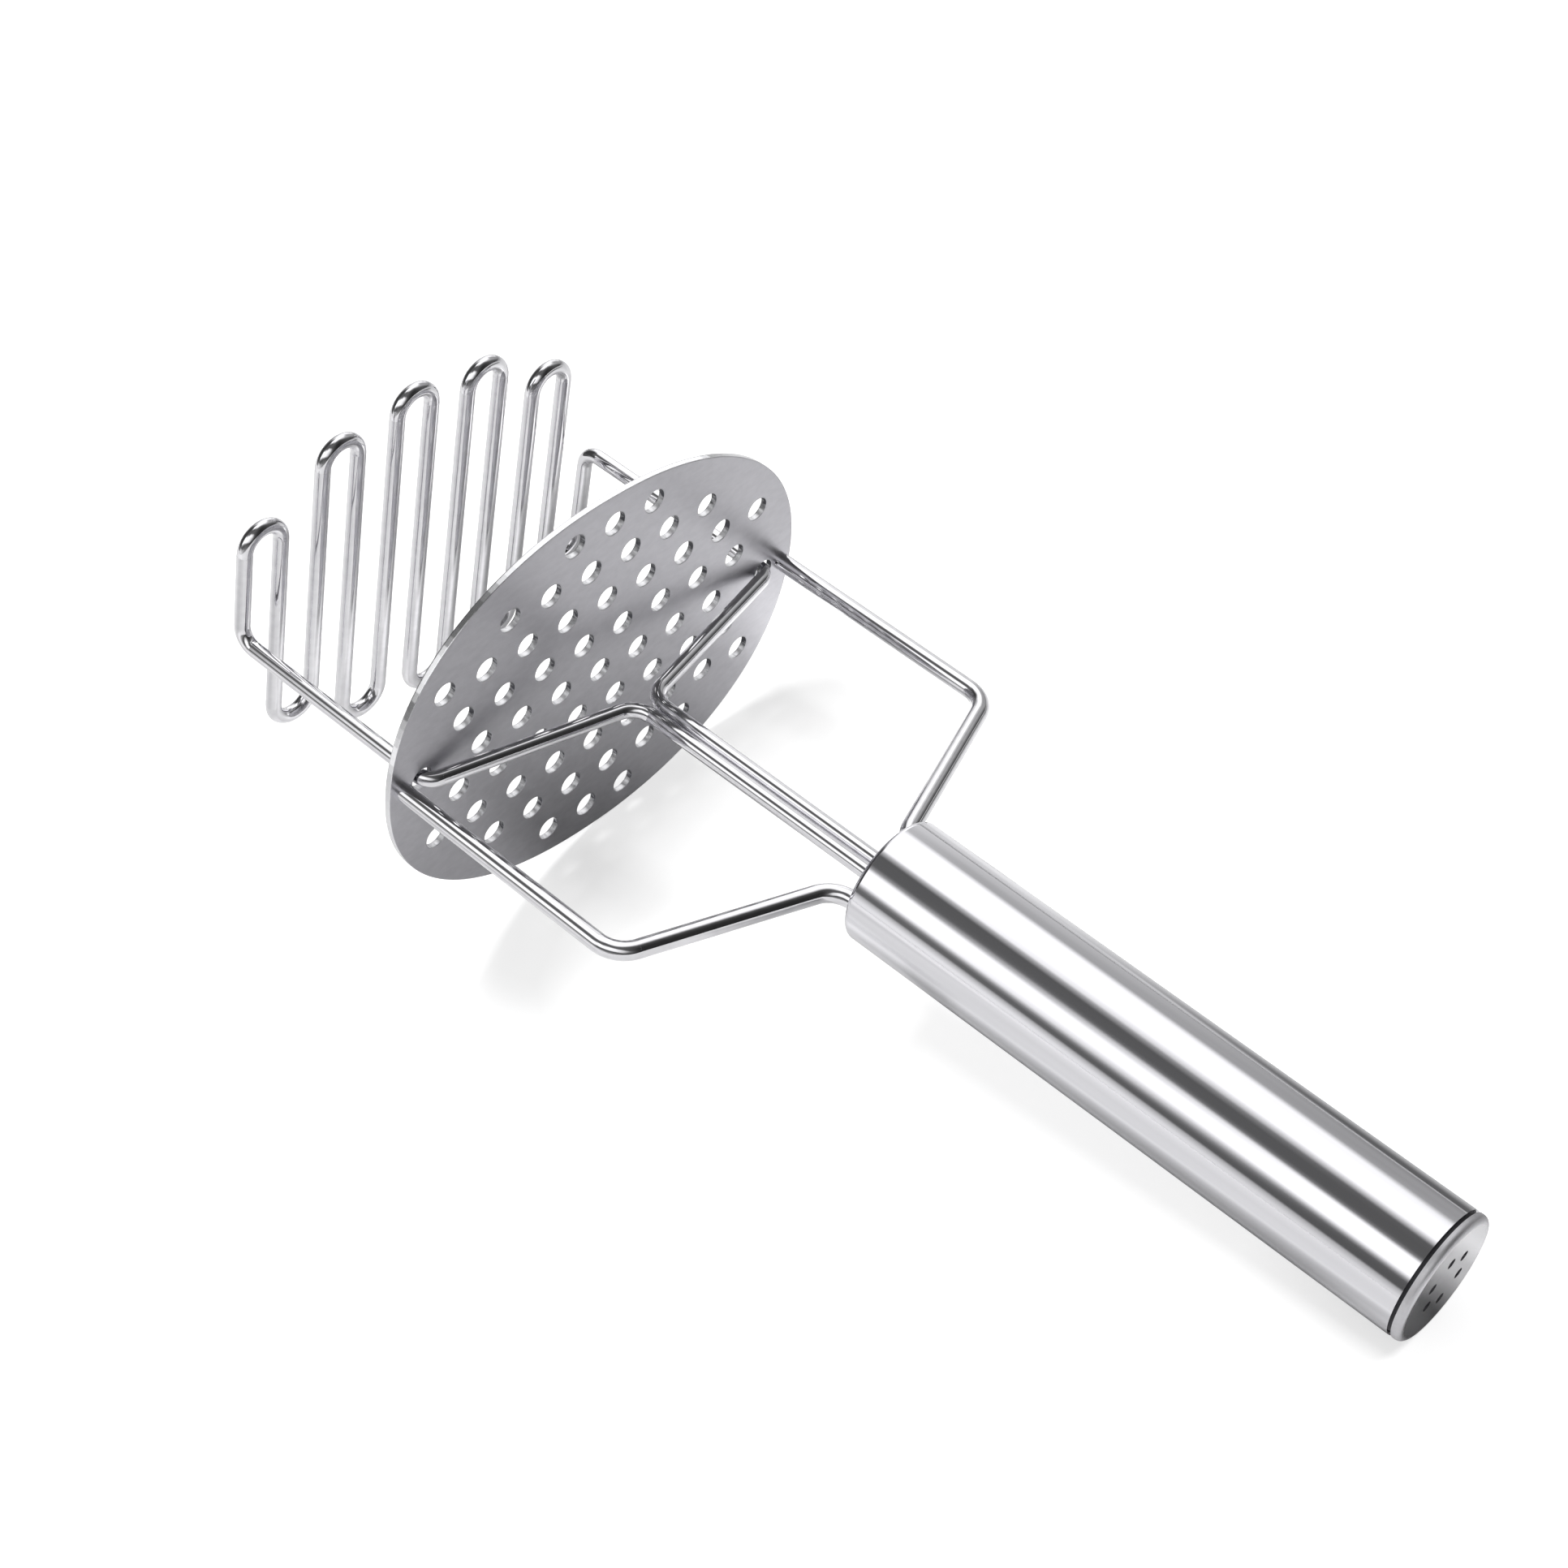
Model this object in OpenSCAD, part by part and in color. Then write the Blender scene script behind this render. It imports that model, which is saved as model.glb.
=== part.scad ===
// Spring masher. A round handle carries a bent wire frame with an oval perforated plate. A second
// wire, bent into a flat wave, slides up through the plate against a spring inside the handle.
// Millimetres. The origin is under the middle of the wave, on the surface that it stands on.
// +Z runs along the handle, X across the two side wires, Y along the legs of the wave.

/* [Overall] */
// Length from the surface under the wave to the end of the handle
overall_l = 238.8; // [230:0.1:250]

/* [Masher wire] */
// Diameter of the wire that makes the wave and the two stems
wire_d = 3.0; // [2.6:0.1:3.3]
// Distance between the centre lines of the two outer legs
wave_w = 89; // [86:0.1:90]
// Number of loops on the +Y side, and again on the -Y side
loop_count = 5; // [4:1:6]
// Distance between the two legs of a +Y loop, at the middle of the wave
far_pitch = 8.5; // [8:0.05:9]
// Lean of all the legs towards +X at their +Y end, in degrees
leg_lean = 2; // [0:0.1:3]
// Reach of the middle loops along Y, on the centre line of the wire
wave_reach = 37.2; // [32:0.1:38]
// Half width of the oval that the loop ends follow
wave_half_l = 47.8; // [46:0.1:60]
// How far that oval is set off the middle of the wave
wave_shift = 3.5; // [0:0.1:4]
// Bend radius where the wave turns up into a side wire, on the centre line
corner_r = 3.5; // [2.5:0.1:5]
// Bend radius over the plate, where a side wire turns inwards
foot_r = 3.5; // [3.2:0.1:4.5]
// Slope of the slanted wires from the plate up to the stems, in degrees
slant = 13.2; // [10:0.1:18]
// Bend radius where the slanted wires become the stems
split_r = 5; // [4:0.1:8]
// Gap between the two stems
stem_gap = 0.4; // [0.1:0.05:0.8]
// Gap between the bends of the wire and the plate that they come down on
foot_gap = 0.15; // [0.1:0.05:0.6]
// Space left between the wave and the plate when the masher is pushed right in
end_gap = 3.3; // [2:0.1:8]

/* [Press plate] */
// Width of the oval plate
plate_w = 104.1; // [102:0.1:110]
// Depth of the oval plate
plate_d = 82.6; // [80:0.1:90]
// Fullness of the oval: 2 is an ellipse
plate_fullness = 2.15; // [2:0.05:2.6]
// Thickness of the plate
plate_t = 1.2; // [1:0.1:1.6]
// Height of the underside of the plate above the surface under the wave
plate_z = 48.3; // [40:0.1:52]
// Diameter of the pressing holes
hole_d = 4.9; // [4:0.1:5.6]
// Distance from one pressing hole to the next
hole_pitch = 10; // [9:0.1:12]
// Plain metal between a pressing hole and the rim
rim_land = 3.2; // [2:0.1:5]
// Plain metal between a pressing hole and a guide hole
guide_land = 5.8; // [4:0.1:6]
// Diameter of the two guide holes that the masher wire slides in
guide_d = 4.6; // [4.2:0.1:6]

/* [Frame wires] */
// Diameter of the two frame wires
frame_d = 3.5; // [3:0.1:3.8]
// Distance between the centre lines of the frame wires at the plate
frame_w = 98.4; // [97:0.1:99.5]
// Bend radius of the shoulder
shoulder_r = 6; // [4:0.1:9]
// Height from the shoulder up to the bend in front of the handle
shoulder_drop = 14.2; // [9:0.1:18]
// Distance from that bend's corner to the front of the handle
entry_l = 4.6; // [4.3:0.1:8]
// Bend radius in front of the handle
entry_r = 6; // [4:0.1:7]
// Distance of the frame wires from the middle of the handle
entry_x = 8.8; // [8.4:0.1:9]

/* [Handle] */
// Outside diameter of the handle tube
handle_d = 24.4; // [24:0.1:27]
// Length of the handle with its end cap
handle_l = 118; // [112:0.1:122]
// Wall of the handle tube
tube_wall = 0.8; // [0.6:0.05:0.9]
// Rounding of the tube's closed front, outside
tube_edge_r = 1; // [0.9:0.05:3]
// Thickness of the end cap over the tube
cap_t = 1.6; // [1.5:0.1:3]
// Rounding of the outer edge of the end cap
cap_edge_r = 1.1; // [0.4:0.1:1.3]
// Height of the shadow groove between tube and cap
seam_h = 0.7; // [0.2:0.05:0.9]
// Depth of the shadow groove
seam_depth = 0.6; // [0.3:0.05:0.7]
// Length of the cap's skirt inside the tube
skirt_l = 6; // [4:0.1:10]
// Wall of the cap's skirt
skirt_wall = 1.2; // [0.8:0.1:2]
// Thickness of the flat end of the cap
cap_web = 1.2; // [0.8:0.1:1.4]
// Diameter of the six vent holes
vent_d = 2; // [1.2:0.1:2.2]
// Diameter of the circle that the vent holes lie on
vent_pcd = 10; // [8:0.1:14]
// Turn of the vent holes about the handle, in degrees
vent_turn = 37; // [0:1:60]

/* [Inside the handle] */
// Gap of a piece that is pressed or set into its seat
seat_gap = 0.05; // [0.02:0.01:0.08]
// Length of the front plug
plug_l = 8; // [6:0.1:12]
// How far the frame wires end short of the plug's top
frame_short = 0.5; // [0.2:0.1:2]
// Outside diameter of the stem guide
bush_d = 11; // [10:0.1:11.8]
// Diameter of the stem guide's flange
bush_flange_d = 17; // [13.4:0.1:19]
// Thickness of the stem guide's flange
bush_flange_t = 2; // [1:0.1:3]
// Gap between the pair of stems and the guide's bore
stem_play = 0.15; // [0.1:0.05:0.4]
// Outside diameter of the ferrule on the stems
ferrule_d = 10.4; // [9:0.1:12]
// Length of the ferrule
ferrule_l = 9; // [6:0.1:14]
// Gap under the ferrule at rest
ferrule_gap = 0.3; // [0.2:0.05:0.6]
// How far the stems stand above the ferrule, into the slider
stem_proud = 2; // [1:0.1:3]
// Thickness of the slider
slider_t = 4; // [3.4:0.1:6]
// Gap between slider and tube
slider_play = 0.25; // [0.15:0.05:0.4]
// Diameter of the four air holes in the slider
air_d = 2; // [1.5:0.1:2.4]
// Height of the spigots that centre the spring
spigot_h = 4; // [2:0.1:6]
// Thickness of the spring seat
seat_t = 2.5; // [1.5:0.1:4]
// Wall of the spring seat's hollow spigot
spigot_wall = 1.2; // [0.8:0.1:2]

/* [Spring] */
// Diameter of the spring wire
spring_wire = 1.4; // [1:0.1:1.6]
// Outside diameter of the spring
spring_d = 17; // [16:0.1:18]
// Number of working turns
spring_turns = 12; // [8:1:14]
// Rise of the closed turn at each end
closed_rise = 2.2; // [2.1:0.1:3]
// Gap between the spring's end and the face that it pushes on
spring_gap = 0.05; // [0.02:0.01:0.1]
// Gap between the spring and the spigots inside it
spigot_play = 0.4; // [0.2:0.05:0.6]

/* [Hidden] */
$fn = 64;

steel = "silver";
satin = "darkgray";
nylon = "whitesmoke";

// How far a cutter runs past the face that it cuts
cut = 1;
// A bend is a hair thinner than the straights, which run into it by a hair: every joint is a clean edge
lap = 0.05;
thin = 0.02;

wire_r = wire_d / 2;
frame_r = frame_d / 2;
guide_r = guide_d / 2;
hole_r = hole_d / 2;
handle_r = handle_d / 2;
bore_r = handle_r - tube_wall;

// Wave: the legs stand side by side in a frame that is turned by leg_lean
side_x = wave_w / 2;
pair_pitch = wave_w / loop_count;
bend_count = 2 * loop_count;
stem_x = wire_r + stem_gap / 2;

// The side wire's bend clears the edge of the guide hole by foot_gap. foot_cz is where it starts.
plate_top = plate_z + plate_t;
foot_in_r = foot_r - wire_r;
foot_cz = plate_top + foot_gap - sqrt(pow(foot_in_r, 2) - pow(foot_r - guide_r, 2));
foot_z = foot_cz + foot_r * tan((90 - slant) / 2);
split_z = foot_z + (side_x - stem_x) * tan(slant);

// Frame wires
frame_x = frame_w / 2;
handle_z = overall_l - handle_l;
entry_z = handle_z - entry_l;
shoulder_z = entry_z - shoulder_drop;

// Heights inside the handle
tube_top = overall_l - cap_t - seam_h;
plug_z = handle_z + tube_wall + seat_gap;
plug_top = plug_z + plug_l;
bush_top = plug_top + bush_flange_t;
ferrule_z = bush_top + ferrule_gap;
slider_z = ferrule_z + ferrule_l;
slider_top = slider_z + slider_t;
stem_top = slider_z + stem_proud;
seat_top = tube_top - skirt_l;
seat_z = seat_top - seat_t;
spigot_r = spring_d / 2 - spring_wire - spigot_play;

// Travel of the masher wire into the handle
travel = plate_z - wire_d - end_gap;

// Spring: height of the wire's centre at each turn, and the free gap between the working turns
spring_lo = slider_top + spring_gap + spring_wire / 2;
spring_hi = seat_z - spring_gap - spring_wire / 2;
turn_rise = (spring_hi - spring_lo - 2 * closed_rise) / spring_turns;
turn_gap = (turn_rise * (1 - travel / (spring_hi - spring_lo))) - spring_wire;
echo(travel = travel, spring_end_z = seat_z, gap_between_turns = turn_rise - spring_wire,
     gap_when_pressed = turn_gap, entry = entry_z, split = split_z, foot = foot_z);

function unit(v) = v / norm(v);
function leg_x(i) = -side_x + floor(i / 2) * pair_pitch + (i % 2) * far_pitch;
function loop_x(i) = (leg_x(i) + leg_x(i + 1)) / 2;
function loop_side(i) = i % 2 == 0 ? 1 : -1;
function loop_y(i) = loop_side(i) * wave_reach
    * sqrt(1 - pow((loop_x(i) + loop_side(i) * wave_shift) / wave_half_l, 2));
function loop_r(i) = (leg_x(i + 1) - leg_x(i)) * cos(leg_lean) / 2;
// Centre of the bend of loop i, along the legs
function bend_y(i) = loop_x(i) * sin(leg_lean) + loop_y(i) / cos(leg_lean) - loop_side(i) * loop_r(i);
function side_y(s) = s * side_x * sin(leg_lean);
function rim(a) = [plate_w / 2 * sign(cos(a)) * pow(abs(cos(a)), 2 / plate_fullness),
                   plate_d / 2 * sign(sin(a)) * pow(abs(sin(a)), 2 / plate_fullness)];
function inside_rim(p, m) = pow(abs(p[0]) / (plate_w / 2 - m), plate_fullness)
    + pow(abs(p[1]) / (plate_d / 2 - m), plate_fullness) <= 1;

// A wire in the XY plane: straight from point to point, each inner point turned on its radius.
// Its straights stand past their ends by lap.
module flat_wire(points, radii, d) {
    last = len(points) - 1;
    trims = [for (i = [0:last]) i == 0 || i == last ? 0
        : radii[i - 1] / tan(acos(unit(points[i - 1] - points[i]) * unit(points[i + 1] - points[i])) / 2)];
    for (i = [0:last - 1]) {
        u = unit(points[i + 1] - points[i]);
        a = points[i] + u * (trims[i] - lap);
        run = norm(points[i + 1] - points[i]) - trims[i] - trims[i + 1];
        if (run > lap)
            translate([a[0], a[1], 0])
                rotate([0, 90, atan2(u[1], u[0])])
                    cylinder(d = d, h = run + 2 * lap);
    }
    for (i = [1:last - 1]) {
        u = unit(points[i] - points[i - 1]);
        v = unit(points[i + 1] - points[i]);
        side = u[0] * v[1] - u[1] * v[0] > 0 ? 1 : -1;
        n = side * [-u[1], u[0]];
        c = points[i] - u * trims[i] + n * radii[i - 1];
        turn = acos(u * v);
        translate([c[0], c[1], 0])
            rotate([0, 0, side > 0 ? atan2(-n[1], -n[0]) : atan2(-n[1], -n[0]) - turn])
                rotate_extrude(angle = turn)
                    translate([radii[i - 1], 0])
                        circle(d = d - thin);
    }
}

// Two round bores side by side, opened into one slot, drawn around the pair of stems
module stem_slot(play) {
    r = wire_r + play;
    for (s = [-1, 1])
        translate([s * stem_x, 0])
            circle(r = r);
    square([2 * stem_x, 2 * (r - thin)], center = true);
}

module disc_edge(r, h, e) {
    difference() {
        square([r, h]);
        translate([r - e, h - e])
            difference() {
                square([e + cut, e + cut]);
                circle(r = e);
            }
    }
}

module wave() {
    for (i = [0:bend_count - 1])
        translate([loop_x(i) * cos(leg_lean), bend_y(i), 0])
            rotate([0, 0, loop_side(i) > 0 ? 0 : 180])
                rotate_extrude(angle = 180)
                    translate([loop_r(i), 0])
                        circle(d = wire_d - thin);
    for (i = [1:bend_count - 1]) {
        lo = min(bend_y(i - 1), bend_y(i));
        hi = max(bend_y(i - 1), bend_y(i));
        translate([leg_x(i) * cos(leg_lean), lo - lap, 0])
            rotate([-90, 0, 0])
                cylinder(d = wire_d, h = hi - lo + 2 * lap);
    }
}

// Outer leg of the wave, its corner and the side wire up to the bend over the plate
module side(s) {
    translate([s * side_x * cos(leg_lean), 0, 0])
        rotate([90, 0, 90])
            flat_wire([[bend_y(s < 0 ? 0 : bend_count - 1), 0], [side_y(s), 0],
                       [side_y(s), foot_cz - wire_r]],
                      [corner_r], wire_d);
}

// Bend over the plate, slanted wire and stem
module stem(s) {
    rotate([90, 0, 0])
        flat_wire([[s * side_x, foot_cz], [s * side_x, foot_z], [s * stem_x, split_z],
                   [s * stem_x, stem_top - lap]],
                  [foot_r, split_r], wire_d);
}

module masher_wire() {
    color(steel) {
        translate([0, 0, wire_r])
            rotate([0, 0, -leg_lean]) {
                wave();
                side(-1);
                side(1);
            }
        stem(-1);
        stem(1);
    }
}

module stem_ferrule() {
    color(steel)
        translate([0, 0, ferrule_z])
            linear_extrude(height = ferrule_l)
                difference() {
                    circle(d = ferrule_d);
                    stem_slot(seat_gap);
                }
}

module slider() {
    color(nylon)
        difference() {
            union() {
                translate([0, 0, slider_z])
                    cylinder(r = bore_r - slider_play, h = slider_t);
                translate([0, 0, slider_top - cut])
                    cylinder(r = spigot_r, h = spigot_h + cut);
            }
            translate([0, 0, slider_z - cut])
                linear_extrude(height = stem_proud + spring_gap + cut)
                    stem_slot(seat_gap);
            for (a = [45:90:315])
                rotate([0, 0, a])
                    translate([(spring_d / 2 + bore_r) / 2, 0, slider_z - cut])
                        cylinder(d = air_d, h = slider_t + 2 * cut);
        }
}

module press_plate() {
    rows = ceil(plate_d / hole_pitch);
    steps = ceil(plate_w / hole_pitch);
    holes = [for (j = [-rows:rows], i = [-steps:steps])
        let (p = [(i + (abs(j) % 2) / 2) * hole_pitch, j * hole_pitch * sqrt(3) / 2])
        if (abs(p[0]) < plate_w / 2 - hole_r - rim_land && abs(p[1]) < plate_d / 2 - hole_r - rim_land
            && inside_rim(p, hole_r + rim_land)
            && norm([abs(p[0]) - side_x, p[1]]) > guide_r + hole_r + guide_land) p];
    rim_points = 144;
    color(satin)
        translate([0, 0, plate_z])
            linear_extrude(height = plate_t)
                difference() {
                    polygon([for (i = [0:rim_points - 1]) rim((i + 0.5) * 360 / rim_points)]);
                    for (p = holes)
                        translate(p)
                            circle(d = hole_d);
                    for (s = [-1, 1])
                        translate([s * side_x, 0])
                            circle(d = guide_d);
                }
}

module frame_wire(s) {
    color(steel)
        rotate([90, 0, 0])
            flat_wire([[s * frame_x, plate_top + lap], [s * frame_x, shoulder_z], [s * entry_x, entry_z],
                       [s * entry_x, plug_top - frame_short]],
                      [shoulder_r, entry_r], frame_d);
}

module frame_wire_left() {
    frame_wire(-1);
}

module frame_wire_right() {
    frame_wire(1);
}

module handle_tube() {
    inner_r = tube_edge_r - tube_wall;
    color(steel)
        difference() {
            translate([0, 0, handle_z])
                rotate_extrude()
                    difference() {
                        translate([0, tube_top - handle_z])
                            mirror([0, 1])
                                disc_edge(handle_r, tube_top - handle_z, tube_edge_r);
                        translate([0, tube_top - handle_z + cut])
                            mirror([0, 1])
                                disc_edge(bore_r, tube_top - handle_z + cut - tube_wall, inner_r);
                    }
            translate([0, 0, handle_z - cut])
                cylinder(r = stem_x + wire_r + 2 * stem_play, h = tube_wall + 2 * cut);
            for (s = [-1, 1])
                translate([s * entry_x, 0, handle_z - cut])
                    cylinder(r = frame_r + seat_gap, h = tube_edge_r + 2 * cut);
        }
}

module front_plug() {
    color(nylon)
        difference() {
            translate([0, 0, plug_z])
                rotate_extrude()
                    translate([0, plug_l])
                        mirror([0, 1])
                            disc_edge(bore_r - seat_gap, plug_l, tube_edge_r - tube_wall);
            translate([0, 0, plug_z - cut])
                cylinder(d = bush_d + 2 * seat_gap, h = plug_l + 2 * cut);
            for (s = [-1, 1])
                translate([s * entry_x, 0, plug_z - cut])
                    cylinder(r = frame_r + seat_gap, h = plug_l + 2 * cut);
        }
}

module stem_guide() {
    color(nylon)
        difference() {
            union() {
                translate([0, 0, plug_z])
                    cylinder(d = bush_d, h = plug_l + cut);
                translate([0, 0, plug_top])
                    cylinder(d = bush_flange_d, h = bush_flange_t);
            }
            translate([0, 0, plug_z - cut])
                linear_extrude(height = plug_l + bush_flange_t + 2 * cut)
                    stem_slot(stem_play);
        }
}

// Closed turns at both ends, even turns between them
module spring() {
    sides = 8;
    rings = 16;
    total = spring_turns + 2;
    count = total * rings;
    mean_r = (spring_d - spring_wire) / 2;
    rise = [for (k = [0:count]) let (t = k / rings)
        t <= 1 ? spring_lo + t * closed_rise
        : t >= total - 1 ? spring_hi - (total - t) * closed_rise
        : spring_lo + closed_rise + (t - 1) * turn_rise];
    pts = [for (k = [0:count], j = [0:sides - 1])
        let (a = 360 * k / rings, b = 360 * (j + 0.5) / sides, r = mean_r + spring_wire / 2 * cos(b))
        [r * cos(a), r * sin(a), rise[k] + spring_wire / 2 * sin(b)]];
    walls = [for (k = [0:count - 1], j = [0:sides - 1])
        let (a = k * sides + j, b = k * sides + (j + 1) % sides) [a, b, b + sides, a + sides]];
    color(steel)
        polyhedron(points = pts, faces = concat(
            [[for (j = [sides - 1:-1:0]) j]],
            [for (f = walls) [f[0], f[1], f[2]]],
            [for (f = walls) [f[0], f[2], f[3]]],
            [[for (j = [0:sides - 1]) count * sides + j]]));
}

module spring_seat() {
    color(steel)
        difference() {
            union() {
                translate([0, 0, seat_z])
                    cylinder(r = bore_r - seat_gap, h = seat_t);
                translate([0, 0, seat_z - spigot_h])
                    cylinder(r = spigot_r, h = spigot_h + cut);
            }
            translate([0, 0, seat_z - spigot_h - cut])
                cylinder(r = spigot_r - spigot_wall, h = spigot_h + seat_t + 2 * cut);
        }
}

module end_cap() {
    shoulder = handle_r - seam_depth;
    color(steel)
        difference() {
            union() {
                translate([0, 0, overall_l - cap_t])
                    rotate_extrude()
                        disc_edge(handle_r, cap_t, cap_edge_r);
                translate([0, 0, tube_top])
                    cylinder(r = shoulder, h = seam_h + cap_t / 2);
                translate([0, 0, seat_top])
                    cylinder(r = bore_r - seat_gap, h = tube_top - seat_top + seam_h);
            }
            translate([0, 0, seat_top - cut])
                cylinder(r = bore_r - seat_gap - skirt_wall, h = overall_l - cap_web - seat_top + cut);
            for (i = [0:5])
                rotate([0, 0, vent_turn + 60 * i])
                    translate([vent_pcd / 2, 0, overall_l - cap_web - cut])
                        cylinder(d = vent_d, h = cap_web + 2 * cut);
        }
}

masher_wire();
stem_ferrule();
slider();
press_plate();
frame_wire_left();
frame_wire_right();
handle_tube();
front_plug();
stem_guide();
spring();
spring_seat();
end_cap();
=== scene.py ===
"""Spring masher: the looks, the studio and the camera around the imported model.

The masher is modelled upright on +Z. It lies down in the picture, so the floor and the camera are
turned to it: the floor is the plane under the plate's rim and the end of the handle.
"""
import math

import bpy
from mathutils import Matrix, Vector


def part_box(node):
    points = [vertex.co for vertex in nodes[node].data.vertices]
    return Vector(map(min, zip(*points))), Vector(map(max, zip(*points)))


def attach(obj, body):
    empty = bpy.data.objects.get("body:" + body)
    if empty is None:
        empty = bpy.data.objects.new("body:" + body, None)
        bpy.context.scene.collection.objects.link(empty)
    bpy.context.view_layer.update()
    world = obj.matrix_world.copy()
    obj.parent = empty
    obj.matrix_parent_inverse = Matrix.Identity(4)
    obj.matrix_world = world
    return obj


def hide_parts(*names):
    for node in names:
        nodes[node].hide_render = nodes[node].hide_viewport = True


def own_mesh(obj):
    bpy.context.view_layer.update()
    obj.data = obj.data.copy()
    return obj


MM = 0.001

# Camera, in millimetres of the masher's own frame
CAMERA_AT = Vector((-332.0, 390.0, 336.7)) * MM
CAMERA_AIM = Vector((3.55, 0.0, 92.45)) * MM
CAMERA_UP = Vector((0.4517, 0.7192, -0.5278))
CAMERA_LENS = 73.06
CAMERA_SENSOR = 36.0
CAMERA_CLIP = (0.01, 50)

# What the masher lies on: a plane that slopes along Z, from the plate's rim to the end of the handle.
# The masher is rolled this far about its handle, so that the rim touches down to the right of its middle.
FLOOR_ROLL = math.radians(12.3)
FLOOR_SIZE = 6.0
FLOOR_GAP = 0.2 * MM

# What the camera sees behind the object, and what lights rough surfaces
BACKGROUND_LEVEL = 1.0
AMBIENT_LEVEL = 0.72
# The floor as the camera sees it: its colour, which takes the lamps' shadows, and its own glow, a painted
# light that the areas below vary
FLOOR_WHITE = 0.36
FLOOR_GLOW = 0.73

# A soft area is (centre in mm, radius in mm, (share of the radius, level) from the centre out) and,
# where the axes don't count alike in the distance, how much each of them counts.
# Areas of the floor's glow: painted shade, as less glow in the plate's and the cap's shadow, and painted
# light, as more glow further out
SHADOW_ARC = ((33.5, -41, 204.7), 200,
              ((0.0, 1.0), (0.66, 1.0), (0.76, 0.64), (0.80, 0.64), (0.84, 1.1), (1.0, 1.1)))
SHADOW_SPAN = ((8, -40, 52), 85, ((0.0, 0.66), (0.5, 0.66), (0.8, 0.88), (1.0, 1.0)))
SHADOW_END = ((2.6, -12, 239), 34, ((0.0, 0.80), (0.4, 0.86), (1.0, 1.0)))
FAR_GLOW_AREA = ((0, -30, 100), 900, ((0.0, 1.0), (0.25, 1.0), (0.8, 1.4), (1.0, 1.4)))

# Level of the floor as polished metal reflects it, and the areas of painted shade and painted light that
# darken or lighten it there, seen only in the metal's reflections
MIRRORED_LEVEL = 0.435
PLATE_SHADE = ((4, -42, 52), 100,
               ((0.0, 0.45), (0.1, 0.60), (0.2, 0.94), (0.33, 0.97), (0.49, 1.06), (0.6, 1.2), (0.8, 1.0)))
PLATE_SHINE = ((58, -33, 56), 26, ((0.0, 1.8), (0.5, 1.5), (1.0, 1.0)))
PLATE_LIGHT = ((80, -36, 95), 65, ((0.0, 1.26), (0.5, 1.18), (1.0, 1.0)))
HANDLE_SHADE = ((-17, -16, 215), 20,
                ((0.0, 0.60), (0.2, 0.64), (0.35, 0.74), (0.5, 0.85), (0.7, 1.05), (0.8, 1.1), (1.0, 1.0)),
                (1, 0, 0.12))
CAP_SHADE = ((0, -12, 241), 32,
             ((0.0, 0.22), (0.12, 0.17), (0.2, 0.42), (0.28, 0.80), (0.35, 1.25), (0.55, 1.4), (0.8, 1.1),
              (1.0, 1.0)))
SIDE_SHADE = ((140, -5, 235), 140,
              ((0.0, 0.16), (0.42, 0.18), (0.55, 0.29), (0.64, 0.42), (0.72, 0.58), (0.8, 0.72), (0.9, 0.88),
               (1.0, 1.0)))
RIGHT_SHADE = ((240, 10, 180), 80, ((0.0, 0.20), (0.5, 0.42), (1.0, 1.0)))
LEFT_SHADE = ((-165, -90, -25), 120, ((0.0, 0.64), (0.45, 0.74), (1.0, 1.0)))
FAR_SHADE = ((1500, -30, 100), 4500,
             ((0.0, 1.0), (0.2, 0.6), (0.3, 0.9), (0.33, 1.0), (0.35, 1.0), (0.38, 1.15), (0.47, 1.55),
              (0.6, 1.85), (1.0, 1.9)))
# Areas that all count at once, all over the floor
MIRRORED_AREAS = (PLATE_SHINE, PLATE_LIGHT, HANDLE_SHADE, CAP_SHADE, SIDE_SHADE, RIGHT_SHADE, LEFT_SHADE,
                  FAR_SHADE)
# Areas of painted light and shade under the wave, where PLATE_SHADE doesn't count, and the heights along Z
# where they give way to it
WAVE_LIGHT = ((-2, -46, 33), 60,
              ((0.0, 2.7), (0.17, 2.2), (0.35, 1.85), (0.5, 1.5), (0.7, 1.28), (1.0, 1.08)))
WAVE_SHADE = ((45, -43, 5), 75, ((0.0, 0.46), (0.3, 0.53), (0.5, 0.64), (0.8, 0.87), (1.0, 1.0)))
WAVE_ENDS = (42 * MM, 49 * MM)

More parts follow.
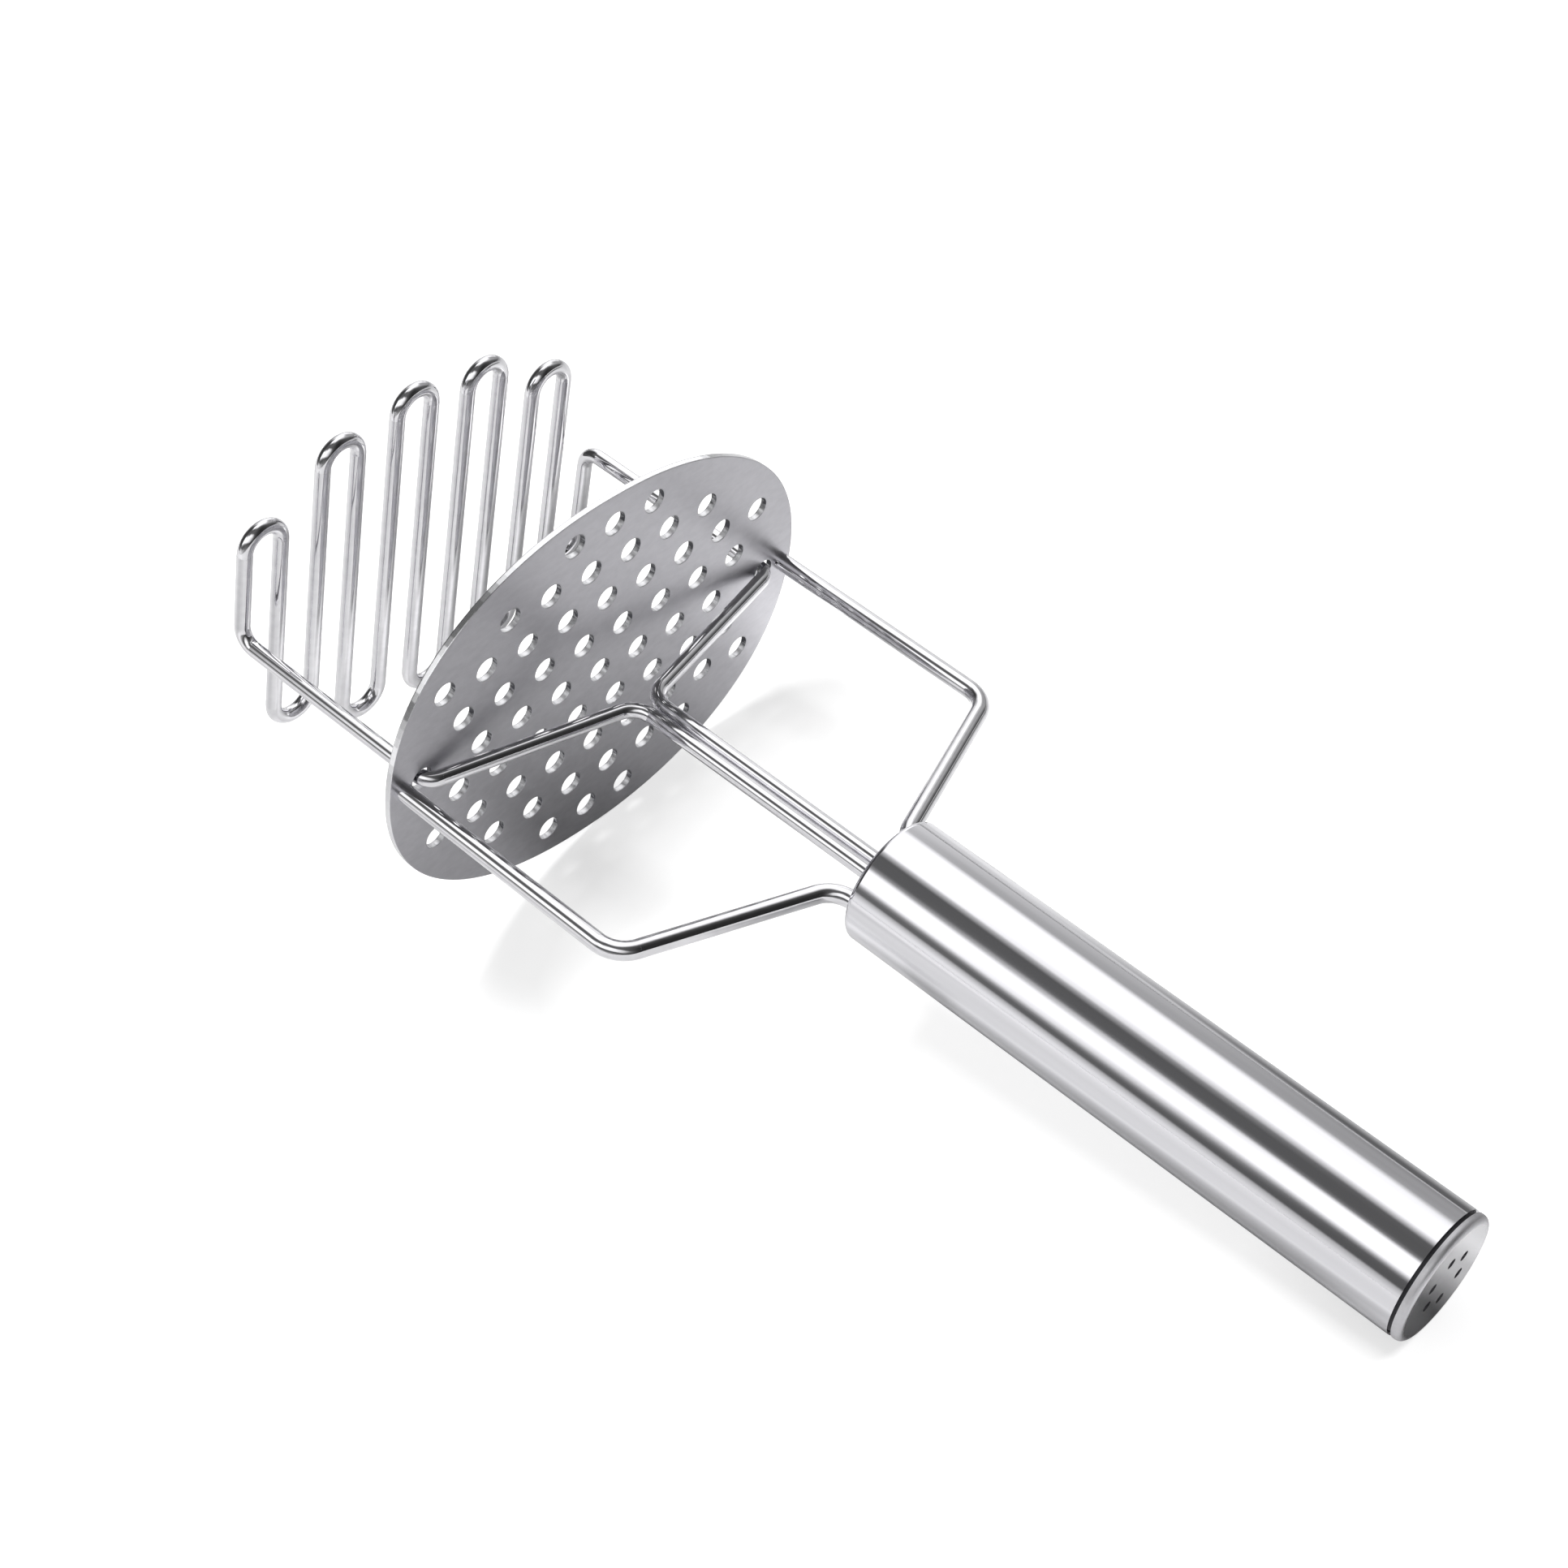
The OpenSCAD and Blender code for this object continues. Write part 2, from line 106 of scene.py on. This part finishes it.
# Studio that polished metal reflects: white soft boxes with dark gaps between them, below a dark room.
# Each row is (height on the unit sphere along Z, ((degrees about Z from +X, level), ...)), from low to high.
GAP = 0.11
LOW_BOXES = ((97, 1.3), (101, 0.62), (108, GAP), (128, GAP), (134, 0.32), (140, 1.3), (163, 1.3), (170, 0.35),
             (174, 0.16), (180, 0.14))
MIDDLE_SIDE = ((-180, 0.14), (-177, 0.50), (-168, 0.82), (-30, 0.45), (0, 0.30), (12, 0.31), (20, 0.36),
               (42, 0.38))
MIDDLE_GAP = ((88, 1.3), (93, 0.75), (100, GAP), (122, GAP))
MIDDLE_BOX = ((132, 1.3), (155, 1.3), (162, 0.34), (166, 0.11), (180, 0.10))
STUDIO = (
    (-0.95, ((-180, 0.08), (-60, 0.08), (-30, 0.30), (33, 0.28), (75, 0.05), (180, 0.05))),
    (-0.75, ((-180, 0.08), (-60, 0.20), (-30, 0.60), (-9, 1.2), (64, 1.2), (80, 0.12), (96, 0.05),
             (180, 0.06))),
    (-0.60, ((-180, 0.14), (-172, 0.50), (-30, 0.70), (-8, 1.2), (84, 1.2), (94, 0.12), (117, 0.14),
             (140, 0.18), (159, 0.05), (180, 0.05))),
    (-0.50, ((-180, 0.14), (-172, 0.60), (-30, 0.70), (-8, 1.3), *LOW_BOXES)),
    (-0.375, ((-180, 0.14), (-177, 0.50), (-168, 0.95), (-30, 0.70), (0, 0.76), (20, 0.60), (29, 0.49),
              (40, 0.46), (49, 1.3), *LOW_BOXES)),
    (-0.225, (*MIDDLE_SIDE, (51, 1.2), *MIDDLE_GAP, (127, 0.23), *MIDDLE_BOX)),
    (-0.14, (*MIDDLE_SIDE, (50, 0.65), (56, 1.2), *MIDDLE_GAP, (127, 0.25), *MIDDLE_BOX)),
    (0.10, ((-180, 0.30), (-172, 0.60), (-30, 0.45), (0, 0.20), (12, 0.25), (24, 0.33), (40, 0.42),
            (52, 0.50), (60, 0.60), (67, 0.42), (74, 0.24), (82, 0.17), (92, 0.13), (116, 0.13), (126, 1.3),
            (152, 1.3), (160, 0.08), (172, 0.10), (180, 0.30))),
    (0.27, ((-180, 0.40), (-40, 0.30), (-9, 0.06), (8, 0.05), (21, 0.12), (40, 0.20), (54, 0.19), (70, 0.08),
            (85, 0.07), (100, 0.12), (116, 0.12), (122, 1.2), (150, 1.2), (158, 0.13), (176, 0.15),
            (180, 0.30))),
    (0.45, ((-180, 0.30), (-40, 0.25), (-9, 0.045), (20, 0.06), (45, 0.10), (75, 0.05), (112, 0.10),
            (122, 1.0), (147, 1.0), (156, 0.08), (180, 0.20))),
    (0.64, ((-180, 0.30), (-40, 0.20), (-9, 0.04), (12, 0.09), (33, 0.08), (72, 0.028), (86, 0.028),
            (112, 0.09), (126, 0.70), (145, 0.80), (155, 0.07), (180, 0.20))),
    (0.80, ((-180, 0.30), (-40, 0.25), (0, 0.12), (40, 0.045), (75, 0.022), (100, 0.04), (135, 0.20),
            (155, 0.06), (180, 0.20))),
    (0.96, ((-180, 0.10), (-60, 0.10), (-10, 0.04), (75, 0.022), (180, 0.05))),
)

# Lamps: (name, place, point aimed at, side, power)
LAMPS = (
    ("key", (-0.27, 0.95, -0.38), (0, 0, 0.09), 0.3, 9),
    ("fill", (0.13, 1.07, 0.50), (0, 0, 0.17), 0.3, 8.5),
)

# Half width and half depth of the plate, and the share of them beyond which a wall is the rim's
RIM_HALF = (52.05 * MM, 41.3 * MM)
RIM_SHARE = 0.95
# A face is a flat side of the plate where Z has more than this share in its normal
FLAT_SHARE = 0.7
# Share of Y in the normal of a hole's wall at which painted light on the wall starts, and at which the wall
# is wholly painted light
LIT_SHARES = (0.05, 0.8)
# Torn metal of the holes' walls: grain, its stretch, and how far it makes a wall darker or lighter
TORN_GRAIN = 1500
TORN_STRETCH = (1, 1, 0.4)
TORN_STEP = 0.4
# Painted shade of the holes' walls that face away from +Y, and painted light of those that face +Y, which is
# also the rim's own colour
WALL_PAINTED_SHADE = (0.08, 0.08, 0.09)
WALL_PAINTED_LIGHT_AND_RIM = (0.92, 0.92, 0.94)
# Upper end of the painted shade in the groove of the seam round the cap, distance from Z where the cap's worn
# edge starts, and its width
SEAM_SHADE_TOP = 237.2 * MM
WORN_FROM = 10.8 * MM
WORN_BAND = 0.8 * MM

# Samples of the softened edges
EDGE_SAMPLES = 6
# The range that noise mostly keeps within
NOISE_RANGE = (0.3, 0.7)
# Where a Mix node has its two values and its result, by the kind of value
MIX_SOCKETS = {"RGBA": (6, 7, 2), "FLOAT": (2, 3, 0)}


def new_material(name):
    material = bpy.data.materials.new(name)
    material.use_nodes = True
    tree = material.node_tree
    tree.nodes.clear()
    return material, tree


def add(tree, kind, **values):
    """A new node: keywords are its own settings, and an input's value where the name is an input's."""
    node = tree.nodes.new(kind)
    for key, value in values.items():
        if hasattr(node, key):
            setattr(node, key, value)
        else:
            node.inputs[key].default_value = value
    return node


def math_node(tree, operation, first, second=None):
    node = add(tree, "ShaderNodeMath", operation=operation)
    for socket, value in zip(node.inputs, (first, second)):
        if value is None:
            continue
        if isinstance(value, (int, float)):
            socket.default_value = value
        else:
            tree.links.new(value, socket)
    return node.outputs[0]


def mapped(tree, value, source, target=(0, 1)):
    """value put from the range source to the range target, and held at its ends."""
    node = add(tree, "ShaderNodeMapRange")
    for name, number in zip(("From Min", "From Max", "To Min", "To Max"), (*source, *target)):
        node.inputs[name].default_value = number
    tree.links.new(value, node.inputs["Value"])
    return node.outputs["Result"]


def mixed(tree, share, first, second, kind="RGBA"):
    """first where share is 0 and second where it is 1. Each is a socket, or a colour or number of its own."""
    node = add(tree, "ShaderNodeMix", data_type=kind)
    low, high, result = MIX_SOCKETS[kind]
    tree.links.new(share, node.inputs[0])
    for index, value in ((low, first), (high, second)):
        if isinstance(value, bpy.types.NodeSocket):
            tree.links.new(value, node.inputs[index])
        else:
            node.inputs[index].default_value = (*value, 1) if kind == "RGBA" else value
    return node.outputs[result]


def mixed_shader(tree, share, first, second):
    """The shader first where share is 0, and second where it is 1."""
    node = add(tree, "ShaderNodeMixShader")
    for socket, source in zip(node.inputs, (share, first.outputs[0], second.outputs[0])):
        tree.links.new(source, socket)
    return node


def length_of(tree, vector, weights):
    """Length of a vector, with each of its parts counted by its weight."""
    weighed = add(tree, "ShaderNodeVectorMath", operation="MULTIPLY")
    weighed.inputs[1].default_value = weights
    tree.links.new(vector, weighed.inputs[0])
    length = add(tree, "ShaderNodeVectorMath", operation="LENGTH")
    tree.links.new(weighed.outputs[0], length.inputs[0])
    return length.outputs["Value"]


def ramp(tree, value, stops):
    """value, from 0 to 1, read off (position, level) stops."""
    node = add(tree, "ShaderNodeValToRGB")
    elements = node.color_ramp.elements
    while len(elements) > 1:
        elements.remove(elements[-1])
    for i, (position, level) in enumerate(stops):
        stop = elements[0] if i == 0 else elements.new(position)
        stop.position = position
        stop.color = (level, level, level, 1)
    tree.links.new(value, node.inputs["Fac"])
    return node.outputs["Color"]


def around(tree, area):
    """The level of a soft area at each point of the surface."""
    centre, radius, levels = area[:3]
    weights = area[3] if len(area) > 3 else (1, 1, 1)
    spot = add(tree, "ShaderNodeNewGeometry")
    apart = add(tree, "ShaderNodeVectorMath", operation="SUBTRACT")
    apart.inputs[1].default_value = Vector(centre) * MM
    tree.links.new(spot.outputs["Position"], apart.inputs[0])
    away = length_of(tree, apart.outputs[0], weights)
    return ramp(tree, math_node(tree, "DIVIDE", away, radius * MM), levels)


def grain(tree, scale, stretch=(1, 1, 1), detail=3.0):
    """Noise in the object's own space, drawn out along an axis."""
    place = add(tree, "ShaderNodeTexCoord")
    turn = add(tree, "ShaderNodeMapping", Scale=stretch)
    noise = add(tree, "ShaderNodeTexNoise", Scale=scale, Detail=detail)
    tree.links.new(place.outputs["Object"], turn.inputs["Vector"])
    tree.links.new(turn.outputs["Vector"], noise.inputs["Vector"])
    return noise.outputs["Fac"]


def spread(tree, noise, low, high):
    """Noise spread out, so that it runs from low to high."""
    return mapped(tree, noise, NOISE_RANGE, (low, high))


def bumped(tree, height, depth, normal=None):
    """The normal of a surface with relief of that depth, on top of another normal where one is given."""
    node = add(tree, "ShaderNodeBump", Distance=depth, Strength=1.0)
    tree.links.new(height, node.inputs["Height"])
    if normal:
        tree.links.new(normal, node.inputs["Normal"])
    return node.outputs["Normal"]


def wall_colour_with_painted_light(tree, normal, at_rim):
    """Colour of the cut walls: the rim is light; the holes' walls that face +Y, towards the lamps, get
    painted light, and the others painted shade with a torn grain.
    """
    torn = spread(tree, grain(tree, TORN_GRAIN, TORN_STRETCH), -TORN_STEP, TORN_STEP)
    lit = mapped(tree, normal.outputs["Y"], LIT_SHARES)
    light = math_node(tree, "MAXIMUM", math_node(tree, "ADD", lit, torn), at_rim)
    return mixed(tree, light, WALL_PAINTED_SHADE, WALL_PAINTED_LIGHT_AND_RIM)


def with_walls(tree, colour, gloss, cut):
    """(colour, roughness) in which the plate's rim has its own, and the walls of holes their own roughness
    and painted light and shade.
    """
    place = add(tree, "ShaderNodeTexCoord")
    normal = add(tree, "ShaderNodeSeparateXYZ")
    tree.links.new(place.outputs["Normal"], normal.inputs[0])
    flat = math_node(tree, "GREATER_THAN", math_node(tree, "ABSOLUTE", normal.outputs["Z"]), FLAT_SHARE)
    out_by = length_of(tree, place.outputs["Object"], (1 / RIM_HALF[0], 1 / RIM_HALF[1], 0))
    at_rim = math_node(tree, "GREATER_THAN", out_by, RIM_SHARE)
    wall_gloss = mixed(tree, at_rim, *cut, kind="FLOAT")
    return (mixed(tree, flat, wall_colour_with_painted_light(tree, normal, at_rim), colour),
            mixed(tree, flat, wall_gloss, gloss, kind="FLOAT"))


def with_worn_edge(tree, gloss, start, roughness):
    """Roughness that rises to the given one over a band that starts at that distance from Z."""
    place = add(tree, "ShaderNodeTexCoord")
    out_by = length_of(tree, place.outputs["Object"], (1, 1, 0))
    return mixed(tree, mapped(tree, out_by, (start, start + WORN_BAND)), gloss, roughness, kind="FLOAT")


def with_seam_shade(tree, colour, top, dark):
    """colour, with painted shade below the height top: the dark colour stands for the shadow in the seam's
    groove.
    """
    place = add(tree, "ShaderNodeTexCoord")
    height = add(tree, "ShaderNodeSeparateXYZ")
    tree.links.new(place.outputs["Object"], height.inputs[0])
    return mixed(tree, math_node(tree, "GREATER_THAN", height.outputs["Z"], top), dark, colour)


def metal(name, dark, light, roughness, grain_scale, height, grain_stretch=(1, 1, 1), edge=0.0, slow=None,
          cut=None, seam_shade=None, worn=None):
    """Steel with a grain that varies its colour, gloss and relief.

    edge rounds the look of sharp edges to that radius. slow is (scale, height) of a slow unevenness.
    cut is (roughness, rim roughness) of the faces that aren't square to Z: the walls of punched holes, which
    also get painted light and shade, and the plate's rim. seam_shade is (height along Z, colour): below that
    height the steel has that colour, as painted shade in a groove.
    worn is (distance from Z, roughness): past that distance the steel gets that rough over WORN_BAND.
    """
    material, tree = new_material(name)
    out = add(tree, "ShaderNodeOutputMaterial")
    shader = add(tree, "ShaderNodeBsdfPrincipled", Metallic=1.0)
    fine = grain(tree, grain_scale, grain_stretch)
    colour = mixed(tree, spread(tree, fine, 0, 1), dark, light)
    gloss = spread(tree, fine, *roughness)
    if cut:
        colour, gloss = with_walls(tree, colour, gloss, cut)
    if worn:
        gloss = with_worn_edge(tree, gloss, *worn)
    if seam_shade:
        colour = with_seam_shade(tree, colour, *seam_shade)
    tree.links.new(colour, shader.inputs["Base Color"])
    tree.links.new(gloss, shader.inputs["Roughness"])
    normal = None
    if edge:
        normal = add(tree, "ShaderNodeBevel", samples=EDGE_SAMPLES, Radius=edge).outputs["Normal"]
    if slow:
        normal = bumped(tree, grain(tree, slow[0], detail=1.0), slow[1], normal)
    tree.links.new(bumped(tree, fine, height, normal), shader.inputs["Normal"])
    tree.links.new(shader.outputs[0], out.inputs["Surface"])
    return material


def plastic(name, dark, light, roughness, grain_scale, height):
    """Moulded plastic with a fine grain that varies its colour, gloss and relief."""
    material, tree = new_material(name)
    out = add(tree, "ShaderNodeOutputMaterial")
    shader = add(tree, "ShaderNodeBsdfPrincipled")
    fine = grain(tree, grain_scale)
    tree.links.new(mixed(tree, spread(tree, fine, 0, 1), dark, light), shader.inputs["Base Color"])
    tree.links.new(spread(tree, fine, *roughness), shader.inputs["Roughness"])
    tree.links.new(bumped(tree, fine, height), shader.inputs["Normal"])
    tree.links.new(shader.outputs[0], out.inputs["Surface"])
    return material


def make_materials():
    """The material of each CAD node, by the node's name."""
    handle_steel = metal("handle_steel", dark=(0.79, 0.785, 0.815), light=(0.86, 0.855, 0.89),
                         roughness=(0.07, 0.10), grain_scale=420, height=0.002 * MM,
                         grain_stretch=(1, 1, 0.02))
    wire_steel = metal("wire_steel", dark=(0.80, 0.795, 0.82), light=(0.88, 0.875, 0.90),
                       roughness=(0.05, 0.08), grain_scale=600, height=0.001 * MM, slow=(60, 0.008 * MM))
    plate_steel = metal("plate_steel", dark=(0.51, 0.505, 0.535), light=(0.57, 0.565, 0.595),
                        roughness=(0.34, 0.40), grain_scale=900, height=0.004 * MM, grain_stretch=(0.5, 1, 1),
                        edge=0.35 * MM, cut=(0.42, 0.16))
    cap_steel = metal("cap_steel", dark=(0.70, 0.695, 0.72), light=(0.76, 0.755, 0.78),
                      roughness=(0.20, 0.26), grain_scale=700, height=0.003 * MM,
                      # The near-black colour below SEAM_SHADE_TOP is painted shade in the groove between the
                      # cap and the tube
                      seam_shade=(SEAM_SHADE_TOP, (0.06, 0.06, 0.065)), worn=(WORN_FROM, 0.5))
    inner_steel = metal("inner_steel", dark=(0.50, 0.50, 0.52), light=(0.60, 0.60, 0.62),
                        roughness=(0.30, 0.40), grain_scale=500, height=0.01 * MM)
    spring_steel = metal("spring_steel", dark=(0.40, 0.40, 0.42), light=(0.52, 0.52, 0.54),
                         roughness=(0.25, 0.35), grain_scale=800, height=0.006 * MM)
    nylon = plastic("nylon", dark=(0.80, 0.79, 0.76), light=(0.88, 0.87, 0.84), roughness=(0.40, 0.52),
                    grain_scale=900, height=0.02 * MM)
    return {
        "masher_wire": wire_steel,
        "frame_wire_left": wire_steel,
        "frame_wire_right": wire_steel,
        "press_plate": plate_steel,
        "handle_tube": handle_steel,
        "end_cap": cap_steel,
        "stem_ferrule": inner_steel,
        "spring_seat": inner_steel,
        "spring": spring_steel,
        "slider": nylon,
        "front_plug": nylon,
        "stem_guide": nylon,
    }


def dress(nodes, materials):
    """Gives each CAD node its material."""
    for name, material in materials.items():
        piece = nodes[name]
        piece.data.materials.clear()
        piece.data.materials.append(material)


def make_spring(nodes):
    """A copy of the spring with its CAD form and finish, which moves with the handle."""
    coil = bpy.data.objects.new("spring_coil", nodes["spring"].data.copy())
    bpy.context.collection.objects.link(coil)
    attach(coil, "handle")
    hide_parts("spring")
    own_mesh(coil)


def make_camera():
    camera = bpy.data.objects.new("camera", bpy.data.cameras.new("camera"))
    bpy.context.collection.objects.link(camera)
    back = (CAMERA_AT - CAMERA_AIM).normalized()
    right = CAMERA_UP.cross(back).normalized()
    up = back.cross(right)
    turn = Matrix((right, up, back)).transposed()
    camera.matrix_world = Matrix.Translation(CAMERA_AT) @ turn.to_4x4()
    camera.data.lens = CAMERA_LENS
    camera.data.sensor_width = CAMERA_SENSOR
    camera.data.clip_start, camera.data.clip_end = CAMERA_CLIP
    bpy.context.scene.camera = camera


def touching(node, down, height):
    """The vertex of a node that reaches furthest down, put at a height along Z."""
    spot = max((vertex.co for vertex in node.data.vertices), key=down.dot)
    return Vector((spot.x, spot.y, height))


def floor_plane(nodes):
    """(a point of the floor, its direction along the handle, its normal)."""
    across = Vector((math.cos(FLOOR_ROLL), math.sin(FLOOR_ROLL), 0))
    down = Vector((math.sin(FLOOR_ROLL), -math.cos(FLOOR_ROLL), 0))
    near = touching(nodes["press_plate"], down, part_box("press_plate")[0][2])
    far = touching(nodes["end_cap"], down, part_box("end_cap")[1][2])
    along = (far - near).normalized()
    normal = across.cross(along) * -1
    return near - normal * FLOOR_GAP, along, normal


def floor_mirrored(tree, height):
    """The floor as metal reflects it, with its areas of painted shade and painted light."""
    wave = math_node(tree, "MULTIPLY", around(tree, WAVE_SHADE), around(tree, WAVE_LIGHT))
    past_wave = mapped(tree, height, WAVE_ENDS)
    shade = mixed(tree, past_wave, wave, around(tree, PLATE_SHADE), kind="FLOAT")
    for area in MIRRORED_AREAS:
        shade = math_node(tree, "MULTIPLY", shade, around(tree, area))
    mirrored = add(tree, "ShaderNodeBsdfDiffuse")
    tree.links.new(math_node(tree, "MULTIPLY", shade, MIRRORED_LEVEL), mirrored.inputs["Color"])
    return mirrored


def floor_seen(tree):
    """The floor as the camera sees it: white, with soft shadows of the lamps, deepened by a glow that is
    painted lower in them and higher further out.
    """
    plain = add(tree, "ShaderNodeBsdfDiffuse", Color=(FLOOR_WHITE, FLOOR_WHITE, FLOOR_WHITE, 1))
    glow = add(tree, "ShaderNodeEmission", Color=(1, 1, 1, 1))
    level = math_node(tree, "MAXIMUM", around(tree, SHADOW_ARC), around(tree, SHADOW_SPAN))
    for area in (SHADOW_END, FAR_GLOW_AREA):
        level = math_node(tree, "MULTIPLY", level, around(tree, area))
    tree.links.new(math_node(tree, "MULTIPLY", level, FLOOR_GLOW), glow.inputs["Strength"])
    white = add(tree, "ShaderNodeAddShader")
    tree.links.new(plain.outputs[0], white.inputs[0])
    tree.links.new(glow.outputs[0], white.inputs[1])
    return white


def floor_material():
    """White to the camera, and with painted shade and light to metal. It is clear from below, so that it
    hides nothing.
    """
    material, tree = new_material("floor_white")
    out = add(tree, "ShaderNodeOutputMaterial")
    path = add(tree, "ShaderNodeLightPath")
    side = add(tree, "ShaderNodeNewGeometry")
    place = add(tree, "ShaderNodeSeparateXYZ")
    tree.links.new(side.outputs["Position"], place.inputs[0])
    mirrored = floor_mirrored(tree, place.outputs["Z"])
    above = mixed_shader(tree, path.outputs["Is Camera Ray"], mirrored, floor_seen(tree))
    clear = add(tree, "ShaderNodeBsdfTransparent")
    face = mixed_shader(tree, side.outputs["Backfacing"], above, clear)
    tree.links.new(face.outputs[0], out.inputs["Surface"])
    return material


def make_floor(nodes):
    point, along, normal = floor_plane(nodes)
    half = FLOOR_SIZE / 2
    across = along.cross(normal)
    mesh = bpy.data.meshes.new("floor")
    ends = ((-1, -1), (1, -1), (1, 1), (-1, 1))
    corners = [point + across * sx * half + along * sy * half for sx, sy in ends]
    mesh.from_pydata(corners, [], [(0, 1, 2, 3)])
    mesh.update()
    if mesh.polygons[0].normal.dot(normal) < 0:
        mesh.flip_normals()
    floor = bpy.data.objects.new("floor", mesh)
    bpy.context.collection.objects.link(floor)
    floor.data.materials.append(floor_material())


def studio_level(tree):
    """The studio's level in each direction, which passes over from row to row."""
    place = add(tree, "ShaderNodeTexCoord")
    parts = add(tree, "ShaderNodeSeparateXYZ")
    tree.links.new(place.outputs["Generated"], parts.inputs[0])
    angle = math_node(tree, "ARCTAN2", parts.outputs["Y"], parts.outputs["X"])
    turn = math_node(tree, "ADD", math_node(tree, "DIVIDE", angle, 2 * math.pi), 0.5)
    level = None
    below = None
    for height, row in STUDIO:
        here = ramp(tree, turn, [((degrees + 180) / 360, value) for degrees, value in row])
        if level is None:
            level = here
        else:
            level = mixed(tree, mapped(tree, parts.outputs["Z"], (below, height)), level, here)
        below = height
    return level


def make_world():
    world = bpy.data.worlds.new("studio")
    bpy.context.scene.world = world
    world.use_nodes = True
    tree = world.node_tree
    tree.nodes.clear()
    out = add(tree, "ShaderNodeOutputWorld")
    studio = add(tree, "ShaderNodeBackground", Strength=1.0)
    tree.links.new(studio_level(tree), studio.inputs["Color"])
    ambient = add(tree, "ShaderNodeBackground", Color=(1, 1, 1, 1), Strength=AMBIENT_LEVEL)
    backdrop = add(tree, "ShaderNodeBackground", Color=(1, 1, 1, 1), Strength=BACKGROUND_LEVEL)
    path = add(tree, "ShaderNodeLightPath")
    mirror = math_node(tree, "MAXIMUM", path.outputs["Is Glossy Ray"], path.outputs["Is Transmission Ray"])
    lit = mixed_shader(tree, mirror, ambient, studio)
    seen = mixed_shader(tree, path.outputs["Is Camera Ray"], lit, backdrop)
    tree.links.new(seen.outputs[0], out.inputs["Surface"])


def make_lamps():
    for name, at, aim, size, power in LAMPS:
        data = bpy.data.lights.new(name, "AREA")
        data.shape = "SQUARE"
        data.size = size
        data.energy = power
        item = bpy.data.objects.new(name, data)
        bpy.context.collection.objects.link(item)
        item.location = at
        item.rotation_mode = "QUATERNION"
        item.rotation_quaternion = (Vector(aim) - Vector(at)).to_track_quat("-Z", "Y")
        item.visible_glossy = False


bpy.context.scene.view_settings.view_transform = "Standard"

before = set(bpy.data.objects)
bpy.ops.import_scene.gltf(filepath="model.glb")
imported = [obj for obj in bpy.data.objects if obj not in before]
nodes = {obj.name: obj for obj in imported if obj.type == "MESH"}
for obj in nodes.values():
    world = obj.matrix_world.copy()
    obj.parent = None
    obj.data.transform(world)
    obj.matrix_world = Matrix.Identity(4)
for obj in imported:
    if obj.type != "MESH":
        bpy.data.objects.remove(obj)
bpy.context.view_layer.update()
make_camera()

dress(nodes, make_materials())
make_spring(nodes)
make_floor(nodes)
make_world()
make_lamps()
